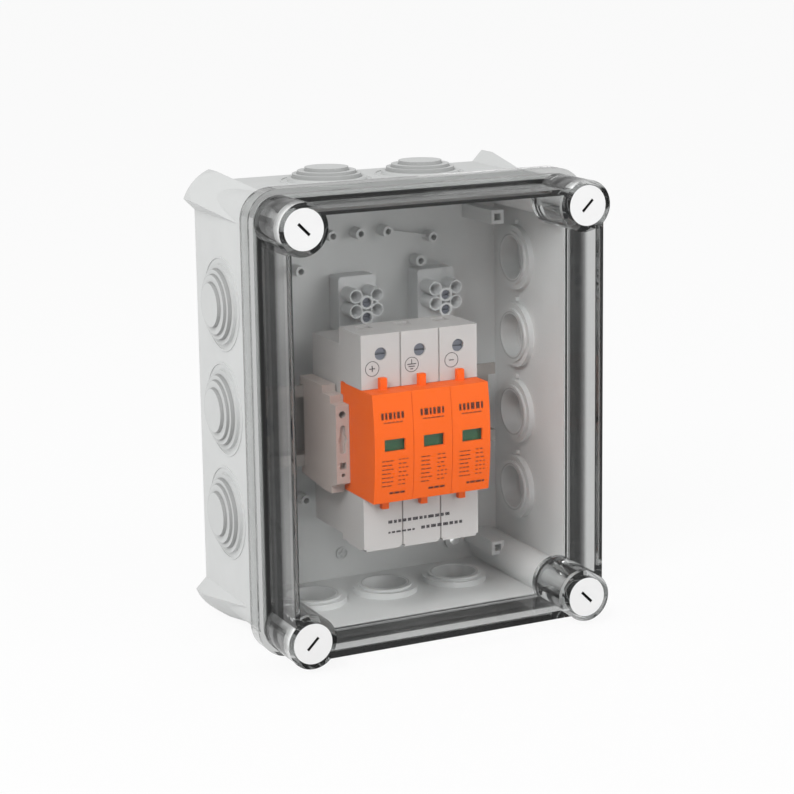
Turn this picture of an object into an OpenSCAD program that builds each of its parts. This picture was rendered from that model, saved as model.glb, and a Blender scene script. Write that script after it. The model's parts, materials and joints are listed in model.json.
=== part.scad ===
// Wall box for solar surge protection: grey base with cable seals, deep clear lid, surge arrester on a rail.
// Millimetres. X points right, Z points up, the wall is the plane Y = 0 and the lid faces minus Y.

/* [Box base] */
// outside width of the base
box_w = 142; // [134:0.5:150]
// outside height of the base
box_h = 182; // [176:0.5:192]
// wall and floor thickness of the base
box_wall = 3; // [2.6:0.1:3.4]
// depth from the wall plane to the rim of the base
rim_d = 65; // [62:0.5:68]
// outside corner radius of the base, also the corner distance of the lid screws
corner_r = 8.6; // [8.2:0.1:9.4]
// radius of the pillars that take the lid screws
pillar_r = 8; // [7.4:0.1:8.2]
// width of the wedge-shaped corner feet
foot_w = 16.4; // [14:0.2:16.8]
// reach of a foot past the lid screw at the wall plane
foot_reach = 12.4; // [11:0.2:13]
// height of a foot along the corner
foot_rise = 48; // [36:1:52]
// radius of the holes for the wall screws
fixing_r = 2.5; // [2:0.1:3]
// outside width of the square sockets on the floor
socket_w = 6; // [5:0.2:7]
// depth from the wall plane to the top of the square sockets
socket_d = 30; // [22:1:34]
// depth from the wall plane to the top of the ring bosses
boss_d = 10; // [8:0.5:12]
// outside radius of the ring bosses
boss_r = 2.4; // [2.2:0.1:2.8]

/* [Lid] */
// overhang of the lid flange past the base
flange_over = 4; // [3.4:0.1:4.6]
// thickness of the lid skirt round the rim
skirt_t = 2.6; // [2:0.1:2.8]
// length of the skirt behind the rim
skirt_drop = 5; // [4:0.5:7]
// thickness of the lid flange and front plate
lid_t = 3; // [2.4:0.1:3.4]
// wall thickness of the raised part of the lid
lid_wall = 2.7; // [2.2:0.1:3]
// depth from the wall plane to the lid front
lid_d = 94; // [93:0.5:100]
// step from the outside of the base to the raised part of the lid
lid_inset = 1.3; // [1:0.1:1.8]
// outside radius of the corner bosses of the lid
well_out_r = 10.4; // [10.2:0.1:11]
// radius of the lid screw heads
head_r = 8.25; // [7.5:0.05:8.4]
// thickness of the lid screw heads
head_t = 7; // [5:0.5:9]
// radius of the lid screw shanks
shank_r = 3; // [2.5:0.1:3.4]
// thickness of the seat under a lid screw head
seat_t = 2.5; // [2:0.1:3]
// length of the slot in a lid screw
slot_l = 6.6; // [5:0.1:9]
// width of the slot in a lid screw
slot_w = 1.2; // [0.8:0.1:2]
// depth of the slot in a lid screw
slot_deep = 3.5; // [2:0.1:4.5]
// thickness of the gasket
gasket_t = 1; // [0.8:0.1:1.4]

/* [Cable seals] */
// flange radius of the large seals
big_r = 16.5; // [15:0.5:17]
// height of the large seals
big_h = 5.6; // [4.8:0.2:6]
// spacing of the large seals on the left wall
left_pitch = 44; // [42:0.5:46]
// spacing of the large seals on the top wall
top_pitch = 43.2; // [42:0.2:46]
// flange radius of the small seals
small_r = 13.6; // [12.6:0.2:14]
// height of the small seals
small_h = 4; // [3.6:0.1:4.8]
// spacing of the small seals on the right wall
right_pitch = 34.2; // [33:0.2:36]
// spacing of the small seals on the bottom wall
bottom_pitch = 33.5; // [33:0.5:36]
// skin thickness of the seals
seal_t = 1; // [0.8:0.1:1.2]
// depth from the wall plane to the seal axes, left and bottom
seal_d = 28; // [26:0.5:32]
// depth from the wall plane to the seal axes, top and right
seal_d_upper = 24.5; // [23:0.5:28]

/* [Rail] */
// length of the rail
rail_l = 114; // [100:1:120]
// height of the rail centre
rail_z = -12; // [-16:0.5:-8]
// depth from the wall plane to the front of the rail
rail_d = 23.5; // [22:0.5:26]
// spacing of the rail slots
rail_pitch = 24; // [22:0.5:25]

/* [Arrester] */
// width of one pole
pole_w = 17.5; // [17:0.1:18]
// position of the left side of the arrester
arr_x = -28.3; // [-32:0.1:-24]
// height of the arrester base
arr_h = 90; // [86:0.5:94]
// height of a plug-in module
mod_h = 45; // [44:0.5:46]
// depth from the wall plane to the front shoulders
shoulder_d = 68.5; // [66:0.5:70]
// depth from the wall plane to the module fronts
mod_d = 80; // [77:0.5:82]
// bulge of the module fronts
mod_bulge = 2; // [1:0.2:3]
// wall thickness of the modules
mod_wall = 1.3; // [1.1:0.1:1.6]
// width of the status windows
window_w = 9.3; // [8:0.1:10]
// height of the status windows
window_h = 5; // [4:0.1:5.4]
// width of the latch tabs
tab_w = 3; // [2.4:0.1:3.6]
// thickness of the roof over a wire room
roof_t = 3.5; // [3:0.1:5]
// radius of the clamp screw heads
pole_screw_r = 2.6; // [2.2:0.05:2.8]

/* [End clip and terminal blocks] */
// width of the end clip
clip_w = 6; // [5:0.1:7]
// width of a terminal block
block_w = 17.6; // [16.6:0.1:19]
// height of a terminal block
block_h = 24.2; // [23:0.1:25]
// height of the terminal block centres over the top of the arrester
block_rise = 1.9; // [0.9:0.1:2.9]
// thickness of the terminal block body
block_t = 9.5; // [8.5:0.1:11]
// depth from the wall plane to the funnel mouths
funnel_d = 22; // [20:0.5:24]
// outside radius of the funnels
funnel_r = 3; // [2.8:0.05:3.2]

/* [Hidden] */
$fn = 48;
e = 0.1;
run_gap = 0.05;
side_gap = 0.15;
half_w = box_w / 2;
half_h = box_h / 2;
screw_x = half_w - corner_r;
screw_z = half_h - corner_r;
// lid levels
lid_back = rim_d + gasket_t;
ledge_d = lid_back + lid_t;
seat_d = lid_d - head_t;
sleeve_r = shank_r + 1.8;
raised_x = half_w - lid_inset;
raised_z = half_h - lid_inset;
// seals: rim positions of the steps as shares of the flange radius and of the height
step_r = [1, 0.87, 0.74, 0.55];
step_h = [0.27, 0.54, 0.75, 1];
big_hole_r = big_r * 0.85;
small_hole_r = small_r * 0.77;
collar_h = 2.5;
collar_t = 3.6;
// rail section
rail_half = 17.5;
rail_side = 13.5;
rail_t = 1;
rail_web_d = rail_d - 6.5;
// arrester levels
arr_w = 3 * pole_w;
arr_z = rail_z + 0.6;
recess_d = shoulder_d - 20.5;
step_d = recess_d - 2;
back_d = rail_d - 4.5;
rear_top = arr_h / 2 - 7;
rear_low = arr_h / 2 - 2.3;
// wire room of a pole, its contact strip and its cage
room_w = 9.2;
room_front_d = shoulder_d - 4;
room_back_d = shoulder_d - 20.5;
room_z = arr_h / 2 - 14;
room_top = arr_h / 2 - roof_t;
entry_half = 3.3;
entry_back_d = room_back_d + 1.6;
entry_front_d = entry_back_d + 5.4;
strip_w = 5;
strip_t = 1.2;
strip_d = shoulder_d - 13.8;
strip_z = arr_h / 2 - 18;
cage_w = room_w - 0.8;
cage_h = 8.8;
cage_back_d = room_back_d + 0.4;
cage_front_d = room_front_d - 3;
cage_t = 1.4;
shaft_r = 1.5;
// blades and the spring clips that take them
blade_w = 6;
blade_t = 1;
blade_end_d = recess_d - 10.5;
clip_front_d = recess_d - 2.8;
clip_back_d = blade_end_d - 0.6;
clip_t = 0.8;
clip_half = blade_t / 2 + 0.2;
fit_gap = 0.2;
pole_x = [for (i = [0:2]) arr_x + pole_w * (i + 0.5)];
mod_w = pole_w - 2 * run_gap - 0.1;
blade_z = 14;
disc_w = 7.6;
disc_half = 17.1;
disc_d = recess_d + 2.6;
clamp_z = arr_z + room_z + 5.8;
// terminal blocks
block_x = [-3.5, 34];
block_z = arr_z + arr_h / 2 + block_rise;
funnel_pitch_x = 9.8;
funnel_pitch_z = 6.4;
block_screw_r = 2.1;

// draws an outline given as x and z, from depth d0 to depth d1 in front of the wall plane
module plate(d0, d1) {
    translate([0, -d0, 0])
        rotate([90, 0, 0])
            linear_extrude(d1 - d0)
                children();
}

// draws an outline given as y and z, from x0 over a width w
module along_x(x0, w) {
    translate([x0, 0, 0])
        rotate([90, 0, 90])
            linear_extrude(w)
                children();
}

// round bar or bore in front of the wall plane
module rod(x, z, r, d0, d1) {
    translate([x, -d0, z])
        rotate([90, 0, 0])
            cylinder(r = r, h = d1 - d0);
}

// block given by its limits
module block(x0, x1, d0, d1, z0, z1) {
    translate([x0, -d1, z0])
        cube([x1 - x0, d1 - d0, z1 - z0]);
}

module round_rect(w, h, r) {
    square([w - 2 * r, h], center = true);
    square([w, h - 2 * r], center = true);
    for (sx = [-1, 1], sz = [-1, 1])
        translate([sx * (w / 2 - r), sz * (h / 2 - r)])
            circle(r);
}

module at_screws() {
    for (sx = [-1, 1], sz = [-1, 1])
        translate([sx * screw_x, sz * screw_z])
            children();
}

// one foot beside the lid screw of the upper right corner, tapering to nothing at the front
module foot() {
    end_r = 20.6;
    translate([screw_x, 0, screw_z])
        rotate([0, -45, 0])
            intersection() {
                plate(0, foot_rise)
                    intersection() {
                        translate([0, -foot_w / 2])
                            square([foot_reach + 1, foot_w]);
                        translate([foot_reach - end_r, 0])
                            circle(end_r);
                    }
                translate([0, 0, -foot_w])
                    linear_extrude(2 * foot_w)
                        polygon([[0, 0], [foot_reach, 0], [4, -foot_rise], [0, -foot_rise]]);
            }
}

module feet() {
    foot();
    mirror([1, 0, 0])
        foot();
    mirror([0, 0, 1])
        foot();
    mirror([1, 0, 0])
        mirror([0, 0, 1])
            foot();
}

// places a child, drawn along +Z from the outside face of a wall, at every seal of that wall
module on_left(i) {
    translate([-half_w, -seal_d, (1 - i) * left_pitch])
        rotate([0, -90, 0])
            children();
}

module on_right(i) {
    translate([half_w, -seal_d_upper, (1.5 - i) * right_pitch])
        rotate([0, 90, 0])
            children();
}

module on_top(i) {
    translate([(i - 0.5) * top_pitch, -seal_d_upper, half_h])
        children();
}

module on_bottom(i) {
    translate([(i - 1) * bottom_pitch, -seal_d, -half_h])
        rotate([180, 0, 0])
            children();
}

module at_big_seals() {
    for (i = [0:2])
        on_left(i)
            children();
    for (i = [0:1])
        on_top(i)
            children();
}

module at_small_seals() {
    for (i = [0:3])
        on_right(i)
            children();
    for (i = [0:2])
        on_bottom(i)
            children();
}

// collar inside the wall and a fine ring outside it
module seal_seat(hole_r, ring_r) {
    translate([0, 0, -box_wall - collar_h])
        cylinder(r = hole_r + collar_t, h = collar_h + e);
    translate([0, 0, -e])
        difference() {
            cylinder(r = ring_r, h = e + 0.4);
            cylinder(r = ring_r - 0.7, h = 1);
        }
}

module seal_hole(hole_r) {
    translate([0, 0, -box_wall - collar_h - e])
        cylinder(r = hole_r, h = box_wall + collar_h + 2);
}

fixing_x = screw_x - 16.4;
fixing_z = screw_z - 4.4;
ring_bosses = [[-13, 64.8], [0, 64.8], [12.8, 64.8], [34.6, 60.7], [-28.2, 50.9], [28.2, 50.9],
    [-28.2, -49], [28.2, -49], [-38.5, -61]];
sockets = [[-55, 70.5], [55, 70.5], [-54.5, -76.5], [54.5, -76.5]];
rail_screw_x = 2 * rail_pitch;

module base_housing() {
    color("gainsboro")
        difference() {
            union() {
                difference() {
                    plate(0, rim_d)
                        round_rect(box_w, box_h, corner_r);
                    plate(box_wall, rim_d + e)
                        round_rect(box_w - 2 * box_wall, box_h - 2 * box_wall, corner_r - box_wall);
                }
                plate(e, rim_d)
                    at_screws()
                        circle(pillar_r);
                feet();
                at_big_seals()
                    seal_seat(big_hole_r, big_r + 3);
                at_small_seals()
                    seal_seat(small_hole_r, small_r + 2);
                floor_bosses();
                floor_ribs();
                floor_symbol();
                for (i = [0:3])
                    translate([half_w - box_wall, -seal_d_upper, (1.5 - i) * right_pitch + 15.6])
                        cube([3, 1.6, 1.6], center = true);
            }
            at_big_seals()
                seal_hole(big_hole_r);
            at_small_seals()
                seal_hole(small_hole_r);
            plate(rim_d - 25, rim_d + e)
                at_screws()
                    circle(shank_r + run_gap);
            for (sx = [-1, 1], sz = [-1, 1])
                rod(sx * fixing_x, sz * fixing_z, fixing_r, -1, box_wall + 5);
            for (p = ring_bosses)
                rod(p[0], p[1], boss_r - 1.1, box_wall, boss_d + e);
            for (p = sockets)
                block(p[0] - socket_w / 4, p[0] + socket_w / 4, box_wall, socket_d + e,
                    p[1] - socket_w / 4, p[1] + socket_w / 4);
            for (s = [-1, 1])
                rod(s * rail_screw_x, rail_z, 1.75, box_wall, rail_d);
        }
}

module floor_bosses() {
    for (sx = [-1, 1], sz = [-1, 1])
        rod(sx * fixing_x, sz * fixing_z, fixing_r + 2.2, box_wall - e, box_wall + 2);
    for (p = ring_bosses)
        rod(p[0], p[1], boss_r, box_wall - e, boss_d);
    for (p = sockets)
        block(p[0] - socket_w / 2, p[0] + socket_w / 2, box_wall - e, socket_d,
            p[1] - socket_w / 2, p[1] + socket_w / 2);
    for (s = [-1, 1])
        rod(s * rail_screw_x, rail_z, 5, box_wall - e, rail_web_d - rail_t);
}

// low ribs on the floor that tie the upper bosses together
module floor_ribs() {
    rib_t = 1.2;
    rib_d = 6.5;
    block(-13, 12.8, box_wall - e, rib_d, 64.8 - rib_t / 2, 64.8 + rib_t / 2);
    for (s = [-1, 1])
        block(s * rail_screw_x - rib_t / 2, s * rail_screw_x + rib_t / 2, box_wall - e, rib_d,
            rail_z - 26, rail_z + 26);
    translate([12.8, 0, 64.8])
        rotate([0, 10.7, 0])
            block(0, 22, box_wall - e, rib_d, -rib_t / 2, rib_t / 2);
}

// raised plus in a ring on the floor
module floor_symbol() {
    mark_d = box_wall + 0.8;
    mark_t = 0.8;
    translate([-8.8, 0, -77]) {
        plate(box_wall - e, mark_d)
            difference() {
                circle(2.9);
                circle(2.9 - mark_t);
            }
        block(-1.6, 1.6, box_wall - e, mark_d, -mark_t / 2, mark_t / 2);
        block(-mark_t / 2, mark_t / 2, box_wall - e, mark_d, -1.6, 1.6);
    }
}

module raised_outline() {
    square([2 * raised_x, 2 * raised_z], center = true);
    at_screws()
        circle(well_out_r);
}

module lid_room() {
    difference() {
        square([2 * (raised_x - lid_wall), 2 * (raised_z - lid_wall)], center = true);
        at_screws()
            circle(well_out_r + 0.6);
    }
}

module lid() {
    flange_w = box_w + 2 * flange_over;
    flange_h = box_h + 2 * flange_over;
    flange_r = corner_r + flange_over;
    color([0.75, 0.82, 0.85, 0.35])
        difference() {
            union() {
                plate(rim_d - skirt_drop, ledge_d)
                    round_rect(flange_w, flange_h, flange_r);
                plate(lid_back, lid_d)
                    raised_outline();
            }
            plate(rim_d - skirt_drop - e, lid_back)
                round_rect(flange_w - 2 * skirt_t, flange_h - 2 * skirt_t, flange_r - skirt_t);
            plate(lid_back - e, lid_d - lid_t)
                lid_room();
            plate(lid_back - e, lid_d + e)
                at_screws()
                    circle(shank_r + run_gap);
            // sleeves behind the screw seats and recesses for the heads in front of them
            plate(rim_d, seat_d - seat_t)
                at_screws()
                    circle(sleeve_r);
            plate(seat_d, lid_d + e)
                at_screws()
                    circle(head_r + run_gap);
        }
}

// area inside a line that follows the walls and passes each lid screw on the inner side
module sealed_area(grow) {
    wall_in = box_wall - 0.2;
    turn_r = pillar_r - 0.4;
    reach = sqrt(turn_r * turn_r - pow(corner_r - wall_in, 2));
    difference() {
        square([box_w - 2 * (wall_in - grow), box_h - 2 * (wall_in - grow)], center = true);
        at_screws()
            circle(turn_r - grow);
        for (sx = [-1, 1], sz = [-1, 1]) {
            translate([sx * (screw_x + 20), sz * (screw_z - reach + grow + 20)])
                square([40, 40], center = true);
            translate([sx * (screw_x - reach + grow + 20), sz * (screw_z + 20)])
                square([40, 40], center = true);
        }
    }
}

module lid_gasket() {
    color("dimgray")
        plate(rim_d, lid_back)
            difference() {
                sealed_area(2.4);
                sealed_area(0);
            }
}

// slotted quarter turn screw, flush with the lid front
module lid_screw(sx, sz, turn) {
    color("white")
        translate([sx * screw_x, 0, sz * screw_z])
            difference() {
                union() {
                    rod(0, 0, head_r, seat_d, lid_d);
                    rod(0, 0, shank_r, rim_d - 20, seat_d + e);
                }
                rotate([0, turn, 0])
                    block(-slot_l / 2, slot_l / 2, lid_d - slot_deep, lid_d + e, -slot_w / 2, slot_w / 2);
            }
}

// stepped cable seal with a thin skin, drawn outwards along +Z from the outside face of the wall
module seal(flange_r, tall, hole_r) {
    r = flange_r * step_r;
    h = tall * step_h;
    neck_r = hole_r - run_gap;
    room_r = neck_r - seal_t;
    in_z = -box_wall - collar_h;
    color("silver")
        rotate_extrude()
            polygon([[0, h[3]], [r[3], h[3]], [r[3], h[2]], [r[2], h[2]], [r[2], h[1]], [r[1], h[1]],
                [r[1], h[0]], [r[0], h[0]], [r[0], 0], [neck_r, 0], [neck_r, in_z],
                [neck_r + 1.2, in_z], [neck_r + 1.2, in_z - seal_t], [room_r, in_z - seal_t],
                [room_r, h[1] - seal_t], [r[2] - seal_t, h[1] - seal_t], [r[2] - seal_t, h[2] - seal_t],
                [r[3] - seal_t, h[2] - seal_t], [r[3] - seal_t, h[3] - seal_t], [0, h[3] - seal_t]]);
}

module big_seal() {
    seal(big_r, big_h, big_hole_r);
}

module small_seal() {
    seal(small_r, small_h, small_hole_r);
}

// top hat rail with a row of slots
module din_rail() {
    web = rail_web_d;
    color("lightsteelblue")
        difference() {
            along_x(-rail_l / 2, rail_l)
                translate([0, rail_z])
                    polygon([[rail_t - web, -rail_side], [rail_t - web, rail_side],
                        [rail_t - rail_d, rail_side], [rail_t - rail_d, rail_half], [-rail_d, rail_half],
                        [-rail_d, rail_side - rail_t], [-web, rail_side - rail_t],
                        [-web, rail_t - rail_side], [-rail_d, rail_t - rail_side], [-rail_d, -rail_half],
                        [rail_t - rail_d, -rail_half], [rail_t - rail_d, -rail_side]]);
            for (i = [-2:2])
                translate([i * rail_pitch, 0, rail_z])
                    plate(web - rail_t - e, web + e)
                        slot_outline(15, 5.8);
        }
}

module slot_outline(l, h) {
    square([l - h, h], center = true);
    for (s = [-1, 1])
        translate([s * (l - h) / 2, 0])
            circle(h / 2);
}

module rail_screws() {
    color("darkslategray")
        for (s = [-1, 1])
            difference() {
                union() {
                    rod(s * rail_screw_x, rail_z, 4, rail_web_d, rail_web_d + 2.6);
                    rod(s * rail_screw_x, rail_z, 1.7, box_wall + 1, rail_web_d + e);
                }
                block(s * rail_screw_x - 3, s * rail_screw_x + 3, rail_web_d + 1.4, rail_web_d + 3,
                    rail_z - 0.5, rail_z + 0.5);
                block(s * rail_screw_x - 0.5, s * rail_screw_x + 0.5, rail_web_d + 1.4, rail_web_d + 3,
                    rail_z - 3, rail_z + 3);
            }
}

latch_x = arr_x + arr_w / 2;
latch_w = 14;
latch_t = 3;
latch_d = rail_d - rail_t - 0.3;

// side view of the arrester base, with the module recess and the hook for the rail
module arrester_outline() {
    half = arr_h / 2;
    room = mod_h / 2 + side_gap;
    up = rail_z - arr_z;
    polygon([[-shoulder_d, half], [-step_d, half], [-step_d, rear_top], [-back_d, rear_top],
        [-back_d, up + rail_side + 0.5], [-latch_d, up + rail_side + 0.5],
        [-latch_d, up + rail_half + 0.2], [-rail_d, up + rail_half + 0.2],
        [-rail_d, up - rail_half - 0.2], [-back_d, up - rail_half - 0.2], [-back_d, -rear_low],
        [-step_d, -rear_low], [-step_d, -half], [-shoulder_d, -half], [-shoulder_d, -room],
        [-recess_d, -room], [-recess_d, room], [-shoulder_d, room]]);
}

module arrester_base() {
    right = arr_x + arr_w;
    side_step_d = shoulder_d - 15.5;
    color("white")
        difference() {
            along_x(arr_x, arr_w)
                translate([0, arr_z])
                    arrester_outline();
            // narrower rear part
            block(arr_x - e, arr_x + 0.6, 0, side_step_d, arr_z - arr_h, arr_z + arr_h);
            block(right - 0.6, right + e, 0, side_step_d, arr_z - arr_h, arr_z + arr_h);
            // grooves between the poles
            for (i = [1:2])
                for (s = [-1, 1])
                    translate([arr_x + i * pole_w, 0, arr_z + s * (arr_h + mod_h) / 4])
                        block(-0.35, 0.35, shoulder_d - 0.7, shoulder_d + e, -arr_h / 4, arr_h / 4);
            for (x = pole_x)
                pole_cuts(x);
            link_room();
            block(latch_x - latch_w / 2 - 0.1, latch_x + latch_w / 2 + 0.1, 0, latch_d + 0.1,
                arr_z - rear_low - e, rail_z - rail_side);
            // notches at the lower edge
            for (i = [0:3])
                block(arr_x + i * pole_w - 1, arr_x + i * pole_w + 1, shoulder_d - 3, shoulder_d + e,
                    arr_z - arr_h / 2 - e, arr_z - arr_h / 2 + 1);
        }
}

// wire room, screw hole, contact channel and blade slots of one pole
module pole_cuts(x) {
    top = arr_z + strip_z;
    low = arr_z + blade_z;
    half = strip_w / 2 + fit_gap;
    clip_out = clip_half + clip_t;
    block(x - room_w / 2, x + room_w / 2, room_back_d, room_front_d, arr_z + room_z, arr_z + room_top);
    block(x - entry_half, x + entry_half, entry_back_d, entry_front_d, arr_z + room_top - e, arr_z + arr_h);
    rod(x, clamp_z, pole_screw_r + run_gap, room_front_d - e, shoulder_d + e);
    block(x - half, x + half, strip_d - fit_gap, strip_d + strip_t + fit_gap, top - fit_gap,
        arr_z + room_z + e);
    block(x - half, x + half, clip_front_d - strip_t - fit_gap, strip_d + strip_t + fit_gap,
        top - fit_gap, top + strip_t + fit_gap);
    block(x - half, x + half, clip_front_d - strip_t - fit_gap, clip_front_d + fit_gap,
        low, top + strip_t + fit_gap);
    for (s = [-1, 1]) {
        z = arr_z + s * blade_z;
        block(x - blade_w / 2 - 0.4, x + blade_w / 2 + 0.4, clip_back_d - clip_t - 0.3, clip_front_d + fit_gap,
            z - clip_out - 0.3, z + clip_out + 0.3);
        block(x - blade_w / 2 - 0.3, x + blade_w / 2 + 0.3, clip_front_d + e, recess_d + 1,
            z - blade_t / 2 - 0.3, z + blade_t / 2 + 0.3);
    }
}

// spring clip that grips a blade, as y and z about the blade
module clip_outline() {
    out = clip_half + clip_t;
    polygon([[-clip_front_d, out], [clip_t - clip_back_d, out], [clip_t - clip_back_d, -out],
        [-clip_front_d, -out], [-clip_front_d, -clip_half], [-clip_back_d, -clip_half],
        [-clip_back_d, clip_half], [-clip_front_d, clip_half]]);
}

// bent strip from the clamp to the upper blade clip of a pole
module pole_contact(i) {
    low = blade_z + clip_half + clip_t / 2;
    front = -strip_d - strip_t;
    color("darkgoldenrod")
        along_x(pole_x[i] - strip_w / 2, strip_w)
            translate([0, arr_z]) {
                translate([0, blade_z])
                    clip_outline();
                polygon([[front, strip_z], [front, room_top - 0.3], [-strip_d, room_top - 0.3],
                    [-strip_d, strip_z + strip_t], [strip_t - clip_front_d, strip_z + strip_t],
                    [strip_t - clip_front_d, low], [-clip_front_d, low], [-clip_front_d, strip_z]]);
            }
}

// bar that joins the lower blade clips of the three poles
link_d = clip_back_d - clip_t - 1.2;
link_half = 3;

module link_bar() {
    z = arr_z - blade_z;
    color("darkgoldenrod") {
        for (x = pole_x)
            along_x(x - strip_w / 2, strip_w)
                translate([0, z])
                    clip_outline();
        block(pole_x[0] - 4, pole_x[2] + 4, link_d, link_d + 1.25, z - link_half, z + link_half);
    }
}

module link_room() {
    z = arr_z - blade_z;
    block(pole_x[0] - 4.2, pole_x[2] + 4.2, link_d - fit_gap, link_d + 1.4, z - link_half - fit_gap,
        z + link_half + fit_gap);
}

// terminal screw of a pole, seen in the round hole of the shoulder
module pole_screw(i) {
    x = pole_x[i];
    head_d = shoulder_d - 0.9;
    seat_d = room_front_d + 0.5;
    color("slategray")
        difference() {
            union() {
                rod(x, clamp_z, pole_screw_r, seat_d, head_d);
                rod(x, clamp_z, shaft_r, strip_d + strip_t + 0.4, seat_d + e);
            }
            block(x - 3, x + 3, head_d - 1, head_d + 1, clamp_z - 0.4, clamp_z + 0.4);
        }
}

// cage that draws the wire against the contact strip
module pole_clamp(i) {
    x = pole_x[i];
    half = cage_w / 2;
    low = arr_z + room_z + 1.4;
    color("lightgray")
        difference() {
            block(x - half, x + half, cage_back_d, cage_front_d, low, low + cage_h);
            block(x - half + cage_t, x + half - cage_t, cage_back_d + cage_t, cage_front_d - cage_t,
                low - 1, low + cage_h + 1);
            rod(x, clamp_z, shaft_r + run_gap, cage_front_d - 2 * cage_t, cage_front_d + 1);
        }
}

// sliding foot that locks the base to the rail
module rail_latch() {
    color("white")
        difference() {
            block(latch_x - latch_w / 2, latch_x + latch_w / 2, latch_d - latch_t, latch_d,
                arr_z - arr_h / 2 - 1, rail_z - rail_side - 0.5);
            block(latch_x - 2.5, latch_x + 2.5, 0, rail_d, arr_z - rear_low - 1.8, arr_z - rear_low - 0.3);
        }
}

// outline of a module seen from the side, with the bulged front
module module_outline(shrink) {
    half = mod_h / 2 - shrink;
    bulge_r = (pow(mod_h / 2, 2) + pow(mod_bulge, 2)) / (2 * mod_bulge);
    intersection() {
        translate([-mod_d + shrink, -half])
            square([mod_d - shrink - recess_d, 2 * half]);
        translate([-mod_d + bulge_r, 0])
            circle(bulge_r - shrink, $fn = 180);
    }
}

module module_shell(i) {
    x = pole_x[i];
    color("darkorange")
        difference() {
            union() {
                along_x(x - mod_w / 2, mod_w)
                    translate([0, arr_z])
                        module_outline(0);
                // latch tabs over the shoulders
                for (s = [-1, 1])
                    block(x - tab_w / 2, x + tab_w / 2, shoulder_d + 0.1, shoulder_d + 2.6,
                        arr_z + s * (mod_h / 2 + 1.8) - 2.9, arr_z + s * (mod_h / 2 + 1.8) + 2.9);
            }
            difference() {
                along_x(x - mod_w / 2 + mod_wall, mod_w - 2 * mod_wall)
                    translate([0, arr_z])
                        module_outline(mod_wall);
                for (s = [-1, 1])
                    block(x + s * 6.3 - 0.5, x + s * 6.3 + 0.5, mod_d - 4.4, mod_d, arr_z - 16, arr_z + 16);
            }
            block(x - mod_w / 2 + mod_wall, x + mod_w / 2 - mod_wall, recess_d - 1, recess_d + 4,
                arr_z - mod_h / 2 + mod_wall, arr_z + mod_h / 2 - mod_wall);
            block(x - window_w / 2 + 0.4, x + window_w / 2 + 0.4, mod_d - 3, mod_d + 1,
                arr_z + 1.5 - window_h / 2, arr_z + 1.5 + window_h / 2);
        }
}

// rear wall of a module with the pocket that holds the varistor
module module_carrier(i) {
    x = pole_x[i];
    w = mod_w / 2 - mod_wall - 0.05;
    h = mod_h / 2 - mod_wall - 0.05;
    color("dimgray")
        difference() {
            block(x - w, x + w, recess_d + 0.1, recess_d + 8, arr_z - h, arr_z + h);
            block(x - disc_w / 2 - e, x + disc_w / 2 + e, disc_d, recess_d + 9,
                arr_z - disc_half - e, arr_z + disc_half + e);
            for (s = [-1, 1])
                block(x - blade_w / 2 - e, x + blade_w / 2 + e, recess_d - 1, disc_d + 1,
                    arr_z + s * blade_z - blade_t / 2 - e, arr_z + s * blade_z + blade_t / 2 + e);
        }
}

module module_varistor(i) {
    color("royalblue")
        block(pole_x[i] - disc_w / 2, pole_x[i] + disc_w / 2, disc_d, mod_d - 6, arr_z - disc_half,
            arr_z + disc_half);
}

module module_blades(i) {
    color("silver")
        for (s = [-1, 1])
            block(pole_x[i] - blade_w / 2, pole_x[i] + blade_w / 2, blade_end_d, disc_d,
                arr_z + s * blade_z - blade_t / 2, arr_z + s * blade_z + blade_t / 2);
}

// two-colour flag behind the window
module status_flag(i) {
    d = mod_d - mod_wall - 0.75;
    color("green")
        block(pole_x[i] - 5.6, pole_x[i] + 5.6, d - 0.9, d, arr_z - 2, arr_z + 10.5);
}

// end clip that grips both lips of the rail and keeps the arrester in place
module end_clip() {
    x = arr_x - clip_w;
    mid = x + clip_w / 2;
    up = rail_side + 0.5;
    lip = rail_half + 0.2;
    color("wheat")
        difference() {
            along_x(x, clip_w)
                translate([0, rail_z])
                    polygon([[-56, 15], [-50.5, 15], [-50.5, 18], [-43, 18], [-43, 21], [-20, 21],
                        [-20, up], [-latch_d, up], [-latch_d, lip], [-rail_d, lip], [-rail_d, -lip],
                        [-latch_d, -lip], [-latch_d, -up], [-20, -up], [-20, -21], [-43, -23],
                        [-50.5, -23], [-50.5, -20], [-56, -18]]);
            rod(mid, rail_z + 11, 1.5, 44, 57);
            translate([mid, 0, rail_z + 0.5])
                plate(54.4, 57)
                    rotate(90)
                        slot_outline(12, 2.4);
            rod(mid, rail_z + 0.5, 2, 54.4, 57);
            block(mid - 1.4, mid + 1.4, 53, 57, rail_z - 11.9, rail_z - 9.1);
            rod(mid, rail_z - 14.5, 0.8, 53, 57);
        }
}

// places of the wire funnels and of the clamp screws of a block, two of each in a row
function funnel_at(s, j) = [s * funnel_pitch_x / 2, 4.9 - j * funnel_pitch_z];
function block_screw_at(j) = [0, 1.9 - j * funnel_pitch_z];
bar_half = 2.9;

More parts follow.
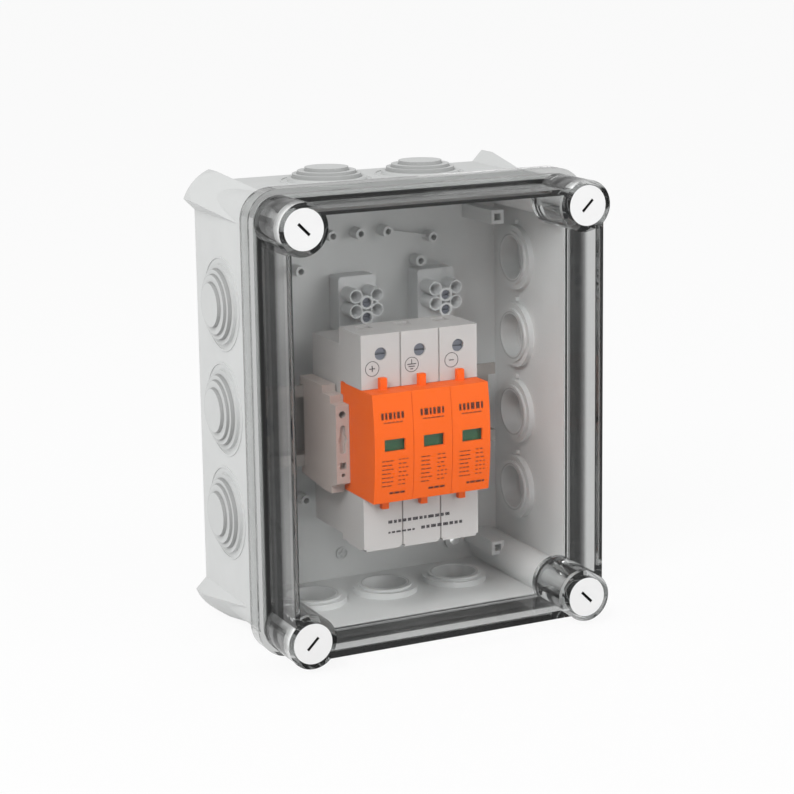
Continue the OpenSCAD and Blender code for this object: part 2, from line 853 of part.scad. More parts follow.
module block_body(k) {
    top = box_wall + block_t;
    color("darkgray")
        translate([block_x[k], 0, block_z])
            difference() {
                union() {
                    plate(box_wall, top)
                        round_rect(block_w, block_h, 1.5);
                    for (j = [0:1]) {
                        for (s = [-1, 1])
                            rod(funnel_at(s, j)[0], funnel_at(s, j)[1], funnel_r, top - e, funnel_d);
                        rod(0, block_screw_at(j)[1], funnel_r, top - e, funnel_d);
                    }
                }
                for (j = [0:1]) {
                    for (s = [-1, 1])
                        funnel_cut(funnel_at(s, j));
                    rod(0, block_screw_at(j)[1], block_screw_r + run_gap, top - 1.5, funnel_d + e);
                    block(-7.2, 7.2, box_wall + 1.2, box_wall + 6.8, bar_at(j) - bar_half - 0.1,
                        bar_at(j) + bar_half + 0.1);
                    rod(0, block_screw_at(j)[1], 1.6, box_wall + 4, top);
                }
            }
}

function bar_at(j) = 3.4 - j * funnel_pitch_z;

// mouth that narrows to the wire hole
module funnel_cut(p) {
    rod(p[0], p[1], 1.3, box_wall + 5, funnel_d + e);
    translate([p[0], -funnel_d - 0.01, p[1]])
        rotate([-90, 0, 0])
            cylinder(r1 = funnel_r - 0.5, r2 = 1.3, h = 6);
}

module block_bars(k) {
    color("darkgoldenrod")
        translate([block_x[k], 0, block_z])
            for (j = [0:1])
                difference() {
                    block(-7, 7, box_wall + 1.3, box_wall + 6.7, bar_at(j) - bar_half, bar_at(j) + bar_half);
                    for (s = [-1, 1])
                        rod(funnel_at(s, j)[0], funnel_at(s, j)[1], 1.2, box_wall + 3, box_wall + 7);
                    rod(0, block_screw_at(j)[1], 1.4 + run_gap, box_wall + 1, box_wall + 7);
                }
}

module block_screw(k, j) {
    x = block_x[k];
    z = block_z + block_screw_at(j)[1];
    color("silver")
        difference() {
            union() {
                rod(x, z, block_screw_r, box_wall + block_t - 1, funnel_d - 1);
                rod(x, z, 1.4, box_wall + 4, box_wall + block_t);
            }
            block(x - 3, x + 3, funnel_d - 2, funnel_d, z - 0.35, z + 0.35);
        }
}

base_housing();
lid();
lid_gasket();
lid_screw(-1, 1, 45);  // lid_screw_top_left
lid_screw(1, 1, -45);  // lid_screw_top_right
lid_screw(-1, -1, -45);  // lid_screw_bottom_left
lid_screw(1, -1, 45);  // lid_screw_bottom_right
on_left(0) big_seal();  // seal_left_1
on_left(1) big_seal();  // seal_left_2
on_left(2) big_seal();  // seal_left_3
on_top(0) big_seal();  // seal_top_1
on_top(1) big_seal();  // seal_top_2
on_right(0) small_seal();  // seal_right_1
on_right(1) small_seal();  // seal_right_2
on_right(2) small_seal();  // seal_right_3
on_right(3) small_seal();  // seal_right_4
on_bottom(0) small_seal();  // seal_bottom_1
on_bottom(1) small_seal();  // seal_bottom_2
on_bottom(2) small_seal();  // seal_bottom_3
din_rail();
rail_screws();
arrester_base();
rail_latch();
link_bar();
end_clip();
module_shell(0);  // module_shell_1
module_shell(1);  // module_shell_2
module_shell(2);  // module_shell_3
module_carrier(0);  // module_carrier_1
module_carrier(1);  // module_carrier_2
module_carrier(2);  // module_carrier_3
module_varistor(0);  // module_varistor_1
module_varistor(1);  // module_varistor_2
module_varistor(2);  // module_varistor_3
module_blades(0);  // module_blades_1
module_blades(1);  // module_blades_2
module_blades(2);  // module_blades_3
status_flag(0);  // status_flag_1
status_flag(1);  // status_flag_2
status_flag(2);  // status_flag_3
pole_contact(0);  // pole_contact_1
pole_contact(1);  // pole_contact_2
pole_contact(2);  // pole_contact_3
pole_screw(0);  // pole_screw_1
pole_screw(1);  // pole_screw_2
pole_screw(2);  // pole_screw_3
pole_clamp(0);  // pole_clamp_1
pole_clamp(1);  // pole_clamp_2
pole_clamp(2);  // pole_clamp_3
block_body(0);  // block_body_left
block_body(1);  // block_body_right
block_bars(0);  // block_bars_left
block_bars(1);  // block_bars_right
block_screw(0, 0);  // block_screw_left_1
block_screw(0, 1);  // block_screw_left_2
block_screw(1, 0);  // block_screw_right_1
block_screw(1, 1);  // block_screw_right_2
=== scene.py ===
"""Looks of the surge protection wall box: materials, generic print, camera, floor and light."""
import json
import math
import random

import bmesh
import bpy
from mathutils import Matrix, Vector

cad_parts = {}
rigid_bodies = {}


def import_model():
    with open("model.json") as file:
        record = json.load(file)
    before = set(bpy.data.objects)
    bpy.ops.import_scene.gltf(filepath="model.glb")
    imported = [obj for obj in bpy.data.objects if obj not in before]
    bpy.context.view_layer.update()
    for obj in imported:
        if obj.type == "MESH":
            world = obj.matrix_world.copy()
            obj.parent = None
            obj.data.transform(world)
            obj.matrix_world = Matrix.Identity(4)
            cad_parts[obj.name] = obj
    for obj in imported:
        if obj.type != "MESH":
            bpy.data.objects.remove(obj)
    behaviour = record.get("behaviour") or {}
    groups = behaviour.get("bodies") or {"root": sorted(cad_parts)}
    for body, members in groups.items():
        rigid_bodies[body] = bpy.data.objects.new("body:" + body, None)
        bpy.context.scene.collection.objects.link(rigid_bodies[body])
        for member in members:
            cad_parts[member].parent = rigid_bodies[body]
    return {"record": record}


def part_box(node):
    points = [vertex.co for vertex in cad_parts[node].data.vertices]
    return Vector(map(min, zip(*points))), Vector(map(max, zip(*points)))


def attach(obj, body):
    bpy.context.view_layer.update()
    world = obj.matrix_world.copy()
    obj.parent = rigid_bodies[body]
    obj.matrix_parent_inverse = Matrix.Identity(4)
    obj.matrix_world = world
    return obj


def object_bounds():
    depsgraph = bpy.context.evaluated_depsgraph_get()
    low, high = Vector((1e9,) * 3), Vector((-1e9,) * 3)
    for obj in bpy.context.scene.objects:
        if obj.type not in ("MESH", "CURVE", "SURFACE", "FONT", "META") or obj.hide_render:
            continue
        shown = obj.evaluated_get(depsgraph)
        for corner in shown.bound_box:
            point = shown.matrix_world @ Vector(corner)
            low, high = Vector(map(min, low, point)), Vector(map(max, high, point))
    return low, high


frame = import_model()
cad_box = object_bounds()
MM = 0.001
rng = random.Random(7)


# ---------- places on the CAD nodes ----------

module_low, module_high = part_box("module_shell_1")
module_z = (module_low[2] + module_high[2]) / 2
base_low, base_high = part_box("arrester_base")
pole_w = (base_high[0] - base_low[0]) / 3
lid_low, lid_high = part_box("lid")

# height on a status flag where its upper colour begins
WINDOW_TOP = module_z + 4.3 * MM
# depths in the lid: back of the pane, full painted dark of the wall foot with its fade before
# it, and the ledge where the painted dark ends
PANE_Y = lid_low[1] + 3.2 * MM
FOOT_FRONT_Y = lid_low[1] + 13.5 * MM
FOOT_FADE = 3.0 * MM
LEDGE_Y = lid_low[1] + 24.8 * MM
# distance from the middle, in x and in z, beyond which a point of the lid is in a straight wall
WALL_REACH = (lid_high[0] - 8.2 * MM, lid_high[2] - 8.2 * MM)
# slot of a lid screw: its reach round the axis, and the depths where its painted shade starts
# and ends
SLOT_HALF = 3.6 * MM
SLOT_SHADE = 0.12 * MM
SLOT_FLOOR = 4.0 * MM
# steps of a seal as shares of its radius, and how far the painted shade in the crease at each
# of them darkens the colour
SEAL_STEPS = (0.55, 0.74, 0.87)
CREASE_PAINTED_SHADE = 0.62
CREASE_PAINTED_SHADE_PROFILE = ((-0.010, 1.0), (-0.004, CREASE_PAINTED_SHADE), (0.022, CREASE_PAINTED_SHADE), (0.034, 1.0))


# ---------- node helpers ----------

WHITE = (1, 1, 1, 1)
# the part of a noise's range that its values fill
NOISE_LOW, NOISE_HIGH = 0.3, 0.7


def new_material(name):
    """Empty node material, with its tree and its output node."""
    mat = bpy.data.materials.new(name)
    mat.use_nodes = True
    tree = mat.node_tree
    tree.nodes.clear()
    out = tree.nodes.new("ShaderNodeOutputMaterial")
    return mat, tree, out


def put(tree, socket, value):
    """Links value to the socket if it is a socket itself, or else sets it there."""
    if isinstance(value, bpy.types.NodeSocket):
        tree.links.new(value, socket)
    else:
        socket.default_value = value


def add(tree, kind, **sockets):
    """Adds a node and sets or links the sockets given by name, with _ for a space."""
    node = tree.nodes.new(kind)
    for key, value in sockets.items():
        put(tree, node.inputs[key.replace("_", " ")], value)
    return node


def maths(tree, operation, *values, clamp=False):
    """Result of a math node on numbers or sockets."""
    node = tree.nodes.new("ShaderNodeMath")
    node.operation = operation
    node.use_clamp = clamp
    for socket, value in zip(node.inputs, values):
        put(tree, socket, value)
    return node.outputs[0]


def object_coords(tree, scale=(1, 1, 1)):
    """Coordinates of the object, which are those of the frame at rest."""
    coords = tree.nodes.new("ShaderNodeTexCoord").outputs["Object"]
    return add(tree, "ShaderNodeMapping", Vector=coords, Scale=scale).outputs["Vector"]


def noise(tree, coords, scale, detail=3.0):
    """Smooth noise around a half."""
    node = add(tree, "ShaderNodeTexNoise", Vector=coords, Scale=scale, Detail=detail)
    return node.outputs["Fac"]


def fade(tree, value, start, end, low=0.0, high=1.0):
    """low at start and high at end, clamped."""
    node = add(tree, "ShaderNodeMapRange", Value=value, From_Min=start, From_Max=end,
               To_Min=low, To_Max=high)
    return node.outputs["Result"]


def uneven(tree, coords, scale, low, high):
    """Value that wanders between low and high over the object."""
    return fade(tree, noise(tree, coords, scale), NOISE_LOW, NOISE_HIGH, low, high)


def step_up(tree, value, limit):
    """1 where value is over limit, else 0."""
    return maths(tree, "GREATER_THAN", value, limit)


def between(tree, start, end):
    """1 where start is 1 and end is not."""
    return maths(tree, "SUBTRACT", start, end, clamp=True)


def blend_colours(tree, factor, first, second, blend_type="MIX"):
    """Blend of two colours, by place where the factor is a socket."""
    node = tree.nodes.new("ShaderNodeMix")
    node.data_type = "RGBA"
    node.blend_type = blend_type
    colour_inputs = (node.inputs[0], node.inputs[6], node.inputs[7])
    for socket, value in zip(colour_inputs, (factor, first, second)):
        put(tree, socket, value)
    return node.outputs[2]


def mix_shaders(tree, factor, first, second):
    """Mix of two shaders, which is the second where factor is 1."""
    node = add(tree, "ShaderNodeMixShader", Fac=factor)
    put(tree, node.inputs[1], first)
    put(tree, node.inputs[2], second)
    return node.outputs["Shader"]


def from_axis(tree, coords, centre, axis):
    """Distance from the line through centre along X, Y or Z."""
    place = add(tree, "ShaderNodeSeparateXYZ", Vector=coords)
    flat = add(tree, "ShaderNodeCombineXYZ")
    for letter, value in zip("XYZ", centre):
        put(tree, flat.inputs[letter], value if letter == axis else place.outputs[letter])
    away = tree.nodes.new("ShaderNodeVectorMath")
    away.operation = "DISTANCE"
    put(tree, away.inputs[0], flat.outputs["Vector"])
    put(tree, away.inputs[1], centre)
    return away.outputs["Value"]


def middle(low, high):
    return tuple((a + b) / 2 for a, b in zip(low, high))


def tint(colour, gain=1.0):
    """Colour times a gain, with alpha added."""
    return tuple(min(1.0, c * gain) for c in colour[:3]) + (1.0,)


# ---------- materials ----------

DRIFT_SCALE = 55.0
GLOSS_SCALE = 160.0
GLOSS_SPREAD = 0.06
GRAIN_SCALE = 1600.0
GRAIN_DETAIL = 2.0
GRAIN_DEPTH = 0.05 * MM
BRUSHED_SCALE = 500.0

SEAL_GREY = (0.61, 0.62, 0.615)
SCREW_WHITE = (0.76, 0.76, 0.76)
# painted shade inside the slots of the lid screws
SLOT_PAINTED_SHADE = (0.03, 0.03, 0.03, 1.0)
FLAG_GREEN = (0.008, 0.085, 0.028)
FLAG_RED = (0.6, 0.03, 0.02)
FLAG_ROUGH = 0.35
FLAG_SPECK_SCALE = 300.0

# the lid's pane, its rim and walls in painted shade, and the foot of its walls in painted dark
LID_CLEAR = (0.99, 0.993, 0.993)
LID_RIM_PAINTED_SHADE = (0.62, 0.625, 0.62)
LID_FOOT_PAINTED_DARK = (0.09, 0.09, 0.09)
LID_IOR = 1.5
LID_SPECULAR = 0.1
LID_SPECULAR_TINT = (0.25, 0.25, 0.25, 1.0)
LID_ROUGH = (0.02, 0.05)
LID_ROUGH_SCALE = 70.0
FLOW_SCALE = 14.0
FLOW_DETAIL = 1.0
FLOW_STRENGTH = 0.06
FLOW_DEPTH = 0.4 * MM
SMOKE_COLOUR = (0.0, 0.02, 0.03, 1.0)
SMOKE_DENSITY = 10.0


def drifting(tree, coords, colour, mottle, scale=DRIFT_SCALE):
    """Colour that drifts from a little darker to a little lighter."""
    return blend_colours(tree, noise(tree, coords, scale), tint(colour, 1 - mottle),
                         tint(colour, 1 + mottle))


def grained(tree, out, coords, base, rough, grain, metallic=0.0, grain_scale=GRAIN_SCALE,
            specular=0.5):
    """Surface with uneven gloss and a fine grain."""
    gloss = uneven(tree, coords, GLOSS_SCALE, rough - GLOSS_SPREAD, rough + GLOSS_SPREAD)
    bump = add(tree, "ShaderNodeBump", Height=noise(tree, coords, grain_scale, GRAIN_DETAIL),
               Strength=grain, Distance=GRAIN_DEPTH)
    shader = add(tree, "ShaderNodeBsdfPrincipled", Base_Color=base, Roughness=gloss,
                 Metallic=metallic, Specular_IOR_Level=specular, Normal=bump.outputs["Normal"])
    put(tree, out.inputs["Surface"], shader.outputs["BSDF"])


def moulded(name, colour, rough, grain, mottle=0.04, stretch=(1, 1, 1), **surface):
    """Moulded plastic or rubber, or plated metal, where stretch draws out the grain."""
    mat, tree, out = new_material(name)
    coords = object_coords(tree, stretch)
    grained(tree, out, coords, drifting(tree, coords, colour, mottle), rough, grain, **surface)
    return mat


def lid_colour_painted_shade(tree, coords):
    """Colour by place: clear pane, with painted shade for dark edges: rim and walls darker,
    feet of the straight walls darkest.
    """
    place = add(tree, "ShaderNodeSeparateXYZ", Vector=coords)
    depth = place.outputs["Y"]
    # painted shade: rim and walls darker than the pane, feet of the straight walls near black,
    # standing in for dark refracted edges
    foot_painted_dark = between(tree, fade(tree, depth, FOOT_FRONT_Y - FOOT_FADE, FOOT_FRONT_Y),
                   step_up(tree, depth, LEDGE_Y))
    in_wall = [step_up(tree, maths(tree, "ABSOLUTE", place.outputs[axis]), reach)
               for axis, reach in zip("XZ", WALL_REACH)]
    foot_painted_dark = maths(tree, "MULTIPLY", foot_painted_dark, maths(tree, "MAXIMUM", *in_wall))
    base = blend_colours(tree, step_up(tree, depth, PANE_Y), tint(LID_CLEAR), tint(LID_RIM_PAINTED_SHADE))
    return blend_colours(tree, foot_painted_dark, base, tint(LID_FOOT_PAINTED_DARK))


def clear_plastic(name):
    """Clear lid: refracts and mirrors, with faint flow marks, and lets lamp light inside.

    Its rim and walls are painted darker than the pane, and the feet of its straight walls near
    black: painted shade that stands in for the dark edges which refraction gives."""
    mat, tree, out = new_material(name)
    coords = object_coords(tree)
    flow = add(tree, "ShaderNodeBump", Height=noise(tree, coords, FLOW_SCALE, FLOW_DETAIL),
               Strength=FLOW_STRENGTH, Distance=FLOW_DEPTH)
    glass = add(tree, "ShaderNodeBsdfPrincipled", Base_Color=lid_colour_painted_shade(tree, coords),
                Roughness=uneven(tree, coords, LID_ROUGH_SCALE, *LID_ROUGH), IOR=LID_IOR,
                Transmission_Weight=1.0, Specular_IOR_Level=LID_SPECULAR,
                Specular_Tint=LID_SPECULAR_TINT, Normal=flow.outputs["Normal"])
    lamp_light = add(tree, "ShaderNodeBsdfTransparent", Color=tint(LID_CLEAR))
    path = tree.nodes.new("ShaderNodeLightPath")
    put(tree, out.inputs["Surface"], mix_shaders(
        tree, path.outputs["Is Shadow Ray"], glass.outputs["BSDF"], lamp_light.outputs["BSDF"]))
    inside = add(tree, "ShaderNodeVolumeAbsorption", Color=SMOKE_COLOUR, Density=SMOKE_DENSITY)
    put(tree, out.inputs["Volume"], inside.outputs["Volume"])
    return mat


def ringed_seal_painted_shade(name, node, axis):
    """Soft seal with painted shade in the creases of its steps round its axis."""
    low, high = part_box(node)
    reach = max(high[i] - low[i] for i in range(3) if "XYZ"[i] != axis) / 2
    mat, tree, out = new_material(name)
    coords = object_coords(tree)
    away = from_axis(tree, coords, middle(low, high), axis)
    # painted shade: darker rings at the steps of the seal, by distance from its axis
    crease_shade_ramp = add(tree, "ShaderNodeValToRGB", Fac=fade(tree, away, 0.0, reach))
    stops = crease_shade_ramp.color_ramp.elements
    stops[0].color = stops[1].color = WHITE
    for ratio in SEAL_STEPS:
        for shift, level in CREASE_PAINTED_SHADE_PROFILE:
            stops.new(ratio + shift).color = (level, level, level, 1)
    base = blend_colours(tree, 1.0, drifting(tree, coords, SEAL_GREY, 0.04),
                         crease_shade_ramp.outputs["Color"], "MULTIPLY")
    grained(tree, out, coords, base, rough=0.5, grain=0.35)
    return mat


def slotted_white_painted_shade(name, node):
    """White screw whose slot is painted dark inside, as painted shade in the recess."""
    low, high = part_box(node)
    mat, tree, out = new_material(name)
    coords = object_coords(tree)
    depth = add(tree, "ShaderNodeSeparateXYZ", Vector=coords).outputs["Y"]
    outside = step_up(tree, from_axis(tree, coords, middle(low, high), "Y"), SLOT_HALF)
    # painted shade: the slot's inside between these depths, within its reach round the axis
    slot_shade_band = between(tree, step_up(tree, depth, low[1] + SLOT_SHADE),
                   step_up(tree, depth, low[1] + SLOT_FLOOR))
    base = blend_colours(tree, between(tree, slot_shade_band, outside),
                         drifting(tree, coords, SCREW_WHITE, 0.03), SLOT_PAINTED_SHADE)
    grained(tree, out, coords, base, rough=0.4, grain=0.25)
    return mat


def two_colour_flag(name):
    """Status flag, green up to the top of the window at rest and red above it."""
    mat, tree, out = new_material(name)
    coords = object_coords(tree)
    height = add(tree, "ShaderNodeSeparateXYZ", Vector=coords).outputs["Z"]
    base = blend_colours(tree, step_up(tree, height, WINDOW_TOP),
                         drifting(tree, coords, FLAG_GREEN, 0.1, FLAG_SPECK_SCALE),
                         drifting(tree, coords, FLAG_RED, 0.05, FLAG_SPECK_SCALE))
    shader = add(tree, "ShaderNodeBsdfPrincipled", Roughness=FLAG_ROUGH, Base_Color=base)
    put(tree, out.inputs["Surface"], shader.outputs["BSDF"])
    return mat


MOULDED = {
    "housing_grey": dict(colour=(0.64, 0.65, 0.645), rough=0.42, grain=0.3),
    "gasket_grey": dict(colour=(0.10, 0.10, 0.10), rough=0.8, grain=0.6),
    "rail_zinc": dict(colour=(0.45, 0.43, 0.41), rough=0.5, grain=0.4, mottle=0.08,
                      metallic=1.0, stretch=(0.15, 4, 4), grain_scale=BRUSHED_SCALE),
    "screw_dark": dict(colour=(0.10, 0.11, 0.14), rough=0.45, grain=0.3, mottle=0.08,
                       metallic=0.6),
    "screw_zinc": dict(colour=(0.16, 0.17, 0.20), rough=0.45, grain=0.3, mottle=0.10,
                       metallic=0.7),
    "arrester_white": dict(colour=(0.49, 0.475, 0.465), rough=0.5, grain=0.35, mottle=0.03),
    "contact_brass": dict(colour=(0.70, 0.52, 0.26), rough=0.35, grain=0.3, mottle=0.08,
                          metallic=1.0),
    "clip_beige": dict(colour=(0.47, 0.41, 0.38), rough=0.5, grain=0.3),
    "block_grey": dict(colour=(0.66, 0.67, 0.67), rough=0.45, grain=0.3),
    "module_orange": dict(colour=(0.84, 0.118, 0.002), rough=0.5, grain=0.3, mottle=0.02,
                          specular=0.1),
    "carrier_grey": dict(colour=(0.16, 0.16, 0.16), rough=0.6, grain=0.3),
    "varistor_blue": dict(colour=(0.04, 0.10, 0.36), rough=0.35, grain=0.8, mottle=0.08),
    "blade_tin": dict(colour=(0.68, 0.68, 0.67), rough=0.3, grain=0.3, mottle=0.05,
                      metallic=1.0, stretch=(1, 6, 1), grain_scale=BRUSHED_SCALE),
    "ink_dark": dict(colour=(0.06, 0.055, 0.06), rough=0.7, grain=0.2, mottle=0.1,
                     specular=0.2),
    "ink_brown": dict(colour=(0.10, 0.022, 0.010), rough=0.7, grain=0.2, mottle=0.1,
                      specular=0.15),
}
MATERIALS = {name: moulded(name, **look) for name, look in MOULDED.items()}
MATERIALS["clear_lid"] = clear_plastic("clear_lid")
MATERIALS["flag_two_colour"] = two_colour_flag("flag_two_colour")


def node_material(node, slot_name):
    """Material of a CAD node: its slot's, or its own where painted shade lies round its axis.
    """
    if node.startswith("seal_"):
        side = node.split("_")[1]
        return ringed_seal_painted_shade("ringed_" + node, node, "X" if side in ("left", "right") else "Z")
    if node.startswith("lid_screw_"):
        return slotted_white_painted_shade("slotted_" + node, node)
    return MATERIALS[slot_name]


for part in frame["record"]["subparts"]:
    material = node_material(part["node"], part["material_slot"])
    for slot in bpy.data.objects[part["node"]].material_slots:
        slot.material = material


# ---------- generic print ----------

INK_HEIGHT = 0.06 * MM
INK_SUNK = 0.03 * MM
RING_CORNERS = 48

# front of a module: half the height of its arc, and how far it bulges
MODULE_HALF = 22.5 * MM
MODULE_BULGE = 2 * MM

# Rows of fine print, in mm: start, end, height over the field's origin, height of the bars,
# longest bar and gap. A start, and an end over 0, count from the field's left side, and any
# other end from its right side.
DETAIL_ROWS = 7
DETAIL_PITCH = 1.75
MODULE_ROWS = [(0.2, -0.2, 12.2, 2.7, 1.7, 0.7), (1.2, -1.2, 10.6, 0.45, 2.2, 0.5)]
for row in range(DETAIL_ROWS):
    MODULE_ROWS += [(0, 5, -5.0 - DETAIL_PITCH * row, 0.4, 2.2, 0.5),
                    (7.4, 0, -4.8 - DETAIL_PITCH * row, 0.4, 1.6, 0.8)]
MODULE_ROWS.append((3.6, 0, -19.0, 0.9, 2.4, 0.4))
RATING_ROWS = [(0, -5, 10.6, 1.3, 2.6, 0.7), (0, 12, 6.4, 0.8, 2.0, 0.6),
               (15, 0, 6.4, 1.3, 2.6, 0.7)]
# left and right margins of the print on a module and on the lower shoulder
MODULE_MARGINS = (3.2 * MM, 2.4 * MM)
RATING_MARGINS = (11 * MM, 7.5 * MM)
# share of the longest bar that a bar has at least, and that a row leaves free at its end
SHORTEST_BAR = 0.45
ROW_REST = 0.4

# signs on the poles: depth below the top of the base, ring, and each sign's distance from the
# left side of its pole with its bars (x0, x1, z0, z1) round its centre, both in mm
SIGN_DOWN = 14.0 * MM
SIGN_RADIUS = 3.15 * MM
SIGN_LINE = 0.28 * MM
SIGNS = (
    (4.9, ((-1.3, 1.3, -0.22, 0.22), (-0.22, 0.22, 0.22, 1.3), (-0.22, 0.22, -1.3, -0.22))),
    (5.1, ((-0.16, 0.16, 0.4, 2.2), (-2.0, 2.0, 0.0, 0.4), (-1.4, 1.4, -1.0, -0.6),
           (-0.7, 0.7, -2.0, -1.6))),
    (5.7, ((-1.1, 1.1, -0.22, 0.22),)),
)


def in_scene(name, data):
    """New object of the scene."""
    thing = bpy.data.objects.new(name, data)
    bpy.context.scene.collection.objects.link(thing)
    return thing


def band(mesh, first, second):
    """Faces between two closed loops of as many corners."""
    for i in range(len(first)):
        j = (i + 1) % len(first)
        mesh.faces.new((first[i], first[j], second[j], second[i]))


def bar(mesh, front_y, x0, x1, z0, z1):
    """Closed slab of print whose front follows the face."""
    outline = ((x0, z0), (x1, z0), (x1, z1), (x0, z1))
    front = [mesh.verts.new((x, front_y(z) - INK_HEIGHT, z)) for x, z in outline]
    back = [mesh.verts.new((x, front_y(z) + INK_SUNK, z)) for x, z in outline]
    mesh.faces.new(front)
    mesh.faces.new(back[::-1])
    band(mesh, back, front)


def ring(mesh, front_y, x, z, outer, inner):
    """Closed flat ring of print."""
    loops = []
    for radius, lift in ((outer, INK_HEIGHT), (inner, INK_HEIGHT),
                         (inner, -INK_SUNK), (outer, -INK_SUNK)):
        loop = []
        for i in range(RING_CORNERS):
            angle = 2 * math.pi * i / RING_CORNERS
            pz = z + radius * math.sin(angle)
            loop.append(mesh.verts.new((x + radius * math.cos(angle), front_y(pz) - lift, pz)))
        loops.append(loop)
    for k, loop in enumerate(loops):
        band(mesh, loop, loops[(k + 1) % len(loops)])


def print_piece(name, body, material, front_y, bars, rings=()):
    """Thin raised print on a face that looks along -Y; front_y(z) gives the face's place."""
    mesh = bmesh.new()
    for sides in bars:
        bar(mesh, front_y, *sides)
    for shape in rings:
        ring(mesh, front_y, *shape)
    bmesh.ops.recalc_face_normals(mesh, faces=mesh.faces)
    data = bpy.data.meshes.new(name)
    mesh.to_mesh(data)
    mesh.free()
    piece = in_scene(name, data)
    data.materials.append(material)
    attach(piece, body)


def bulged_front(z):
    """Front of a module, a shallow arc from top to bottom."""
    radius = (MODULE_HALF ** 2 + MODULE_BULGE ** 2) / (2 * MODULE_BULGE)
    return module_low[1] + radius - math.sqrt(radius ** 2 - (z - module_z) ** 2)


def shoulder(z):
    """Front of the arrester base, which is flat at every height z."""
    return base_low[1]


def text_row(x0, x1, z, height, longest, gap):
    """Row of short bars that reads as fine print from afar and says nothing."""
    bars = []
    x = x0
    while x < x1 - ROW_REST * longest:
        length = min(rng.uniform(SHORTEST_BAR, 1.0) * longest, x1 - x)
        bars.append((x, x + length, z, z + height))
        x += length + gap
    return bars


def text_field(left, right, origin_z, rows):
    """Bars of all rows of a field between left and right."""
    bars = []
    for start, end, z, *sizes in rows:
        side = left if end > 0 else right
        bars += text_row(left + start * MM, side + end * MM, origin_z + z * MM,
                         *(size * MM for size in sizes))
    return bars


def module_print(index):
    """Print on the front of a module."""
    low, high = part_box("module_shell_%d" % index)
    bars = text_field(low[0] + MODULE_MARGINS[0], high[0] - MODULE_MARGINS[1], module_z,
                      MODULE_ROWS)
    print_piece("module_print_%d" % index, "module_%d" % index,
                MATERIALS["ink_brown"], bulged_front, bars)


def pole_symbols():
    """Plus, protective earth and minus, each in a ring, beside the screw holes."""
    z = base_high[2] - SIGN_DOWN
    bars = []
    rings = []
    for i, (offset, sign) in enumerate(SIGNS):
        x = base_low[0] + pole_w * i + offset * MM
        rings.append((x, z, SIGN_RADIUS, SIGN_RADIUS - SIGN_LINE))
        bars += [(x + x0 * MM, x + x1 * MM, z + z0 * MM, z + z1 * MM)
                 for x0, x1, z0, z1 in sign]
    print_piece("pole_symbols", "box", MATERIALS["ink_dark"], shoulder, bars,
                rings)


def rating_field():
    """Two generic rows of bars on the lower shoulder."""
    bars = text_field(base_low[0] + RATING_MARGINS[0], base_high[0] - RATING_MARGINS[1],
                      base_low[2], RATING_ROWS)
    print_piece("rating_field", "box", MATERIALS["ink_dark"], shoulder, bars)


for number in (1, 2, 3):
    module_print(number)
pole_symbols()
rating_field()


# ---------- camera ----------

YAW = math.radians(25.796)
PITCH = math.radians(11.282)
ROLL = math.radians(0.82)
CAMERA_AT = Vector((-0.3929, -0.8575, 0.2076))
FOCAL_PX = 2215.15
IMAGE_PX = 794
SENSOR_MM = 36.0
SHIFT_UP = -0.08
CLIP_END = 50.0


def make_camera():
    data = bpy.data.cameras.new("camera")
    data.sensor_width = SENSOR_MM
    data.lens = FOCAL_PX / IMAGE_PX * SENSOR_MM
    data.shift_y = SHIFT_UP
    data.clip_end = CLIP_END
    camera = in_scene("camera", data)
    forward = Vector((math.sin(YAW) * math.cos(PITCH), math.cos(YAW) * math.cos(PITCH),
                      -math.sin(PITCH)))
    level_right = Vector((math.cos(YAW), -math.sin(YAW), 0))
    level_up = level_right.cross(forward)
    right = level_right * math.cos(ROLL) - level_up * math.sin(ROLL)
    up = level_up * math.cos(ROLL) + level_right * math.sin(ROLL)
    turn = Matrix((right, up, -forward)).transposed().to_4x4()
    camera.matrix_world = Matrix.Translation(CAMERA_AT) @ turn
    bpy.context.scene.camera = camera


# ---------- floor and light ----------

FLOOR_REACH = 30.0
FLOOR_COLOUR = (0.85, 0.85, 0.85, 1)
# strength of the floor's glow, and its share in what the camera sees
GLOW = 1.0
GLOW_SHARE = 0.9
# the world as a light, and as the camera sees it
WORLD_LIGHT = 0.61
WORLD_SEEN = 1.0
LAMP_TARGET = Vector((0, -0.03, 0))
# name, place, side of the square and power
LAMPS = (("key", (-1.1, -0.95, 1.25), 0.8, 18.5), ("fill", (1.2, -1.4, 0.5), 1.0, 9))


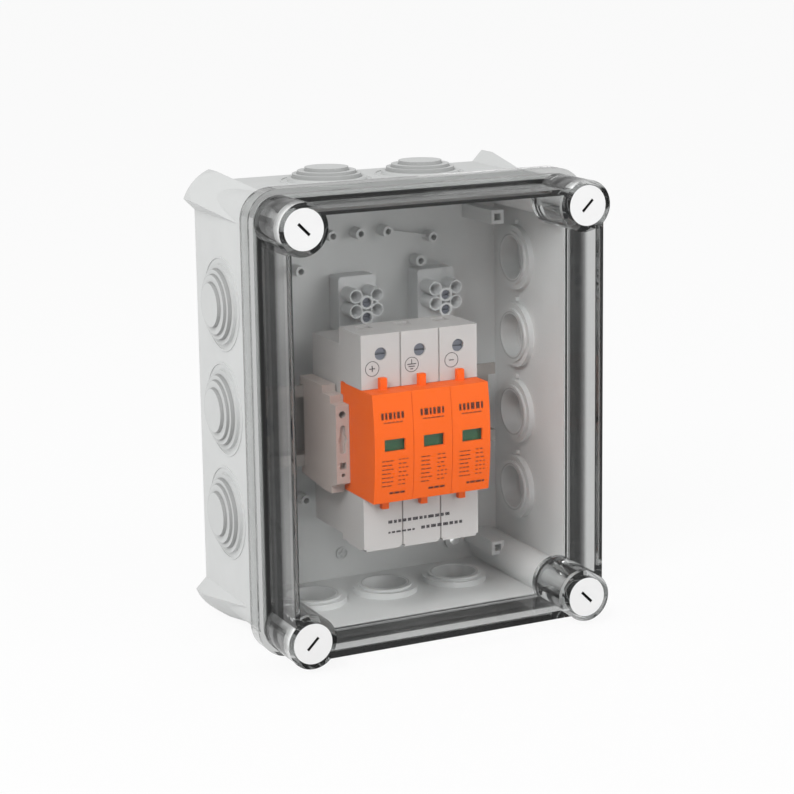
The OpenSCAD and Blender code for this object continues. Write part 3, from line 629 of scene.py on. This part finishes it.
def bright_to_view(tree, plain):
    """Adds a white glow to a shader for rays from the camera and from mirrors and glass."""
    path = tree.nodes.new("ShaderNodeLightPath")
    seen = path.outputs["Is Camera Ray"]
    for ray in ("Is Glossy Ray", "Is Transmission Ray"):
        seen = maths(tree, "MAXIMUM", seen, path.outputs[ray])
    glow = add(tree, "ShaderNodeEmission", Color=WHITE, Strength=GLOW)
    return mix_shaders(tree, maths(tree, "MULTIPLY", seen, GLOW_SHARE), plain,
                       glow.outputs["Emission"])


def make_floor():
    """White ground at the height of the box's lower end."""
    z = cad_box[0][2]
    corners = [(x * FLOOR_REACH, y * FLOOR_REACH, z)
               for x, y in ((-1, -1), (1, -1), (1, 1), (-1, 1))]
    data = bpy.data.meshes.new("floor")
    data.from_pydata(corners, [], [(0, 1, 2, 3)])
    floor = in_scene("floor", data)
    mat, tree, out = new_material("floor_white")
    plain = add(tree, "ShaderNodeBsdfDiffuse", Color=FLOOR_COLOUR).outputs["BSDF"]
    put(tree, out.inputs["Surface"], bright_to_view(tree, plain))
    data.materials.append(mat)


def area_lamp(name, place, side, power):
    """Square lamp that looks at the box."""
    data = bpy.data.lights.new(name, "AREA")
    data.shape = "RECTANGLE"
    data.size = data.size_y = side
    data.energy = power
    lamp = in_scene(name, data)
    lamp.location = place
    lamp.rotation_euler = (LAMP_TARGET - Vector(place)).to_track_quat("-Z", "Y").to_euler()


def make_light():
    world = bpy.data.worlds.new("studio")
    bpy.context.scene.world = world
    world.use_nodes = True
    tree = world.node_tree
    tree.nodes.clear()
    out = tree.nodes.new("ShaderNodeOutputWorld")
    plain, white = (add(tree, "ShaderNodeBackground", Color=WHITE, Strength=strength)
                    for strength in (WORLD_LIGHT, WORLD_SEEN))
    path = tree.nodes.new("ShaderNodeLightPath")
    put(tree, out.inputs["Surface"], mix_shaders(
        tree, path.outputs["Is Camera Ray"], plain.outputs["Background"],
        white.outputs["Background"]))
    for lamp in LAMPS:
        area_lamp(*lamp)


make_camera()
make_floor()
make_light()
bpy.context.scene.view_settings.view_transform = "Standard"
